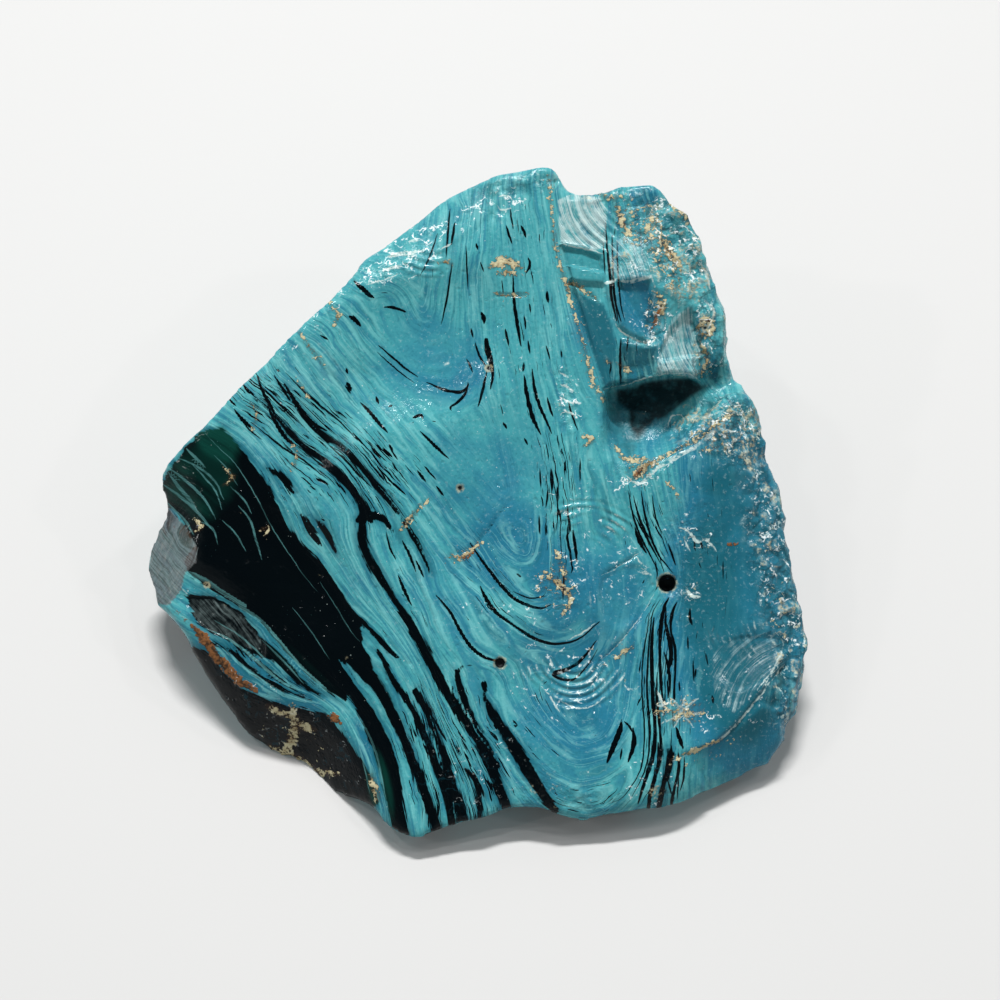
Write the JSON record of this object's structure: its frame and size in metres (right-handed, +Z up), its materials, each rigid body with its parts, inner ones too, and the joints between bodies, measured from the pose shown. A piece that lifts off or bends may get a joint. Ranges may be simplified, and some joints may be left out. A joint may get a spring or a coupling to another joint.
{
  "type": "raw turquoise nugget",
  "caption": "Rough broken lump of glossy turquoise stone with black flow bands, resting on a flat patch; display, collection or set-dressing mineral.",
  "frame": {"origin": "centre of the bounding box at the surface the stone rests on", "axes": "+Z up from the resting surface; the broad broken face slopes down towards -Y; +X to the right when that face is seen from -Y"},
  "size_m": [0.0602, 0.0606, 0.0233],
  "materials": {
    "turquoise": "glossy, glass-like broken surface, blue-green with black flow bands"
  },
  "bodies": {
    "root": {"turquoise_nugget": "turquoise"}
  },
  "joints": []
}
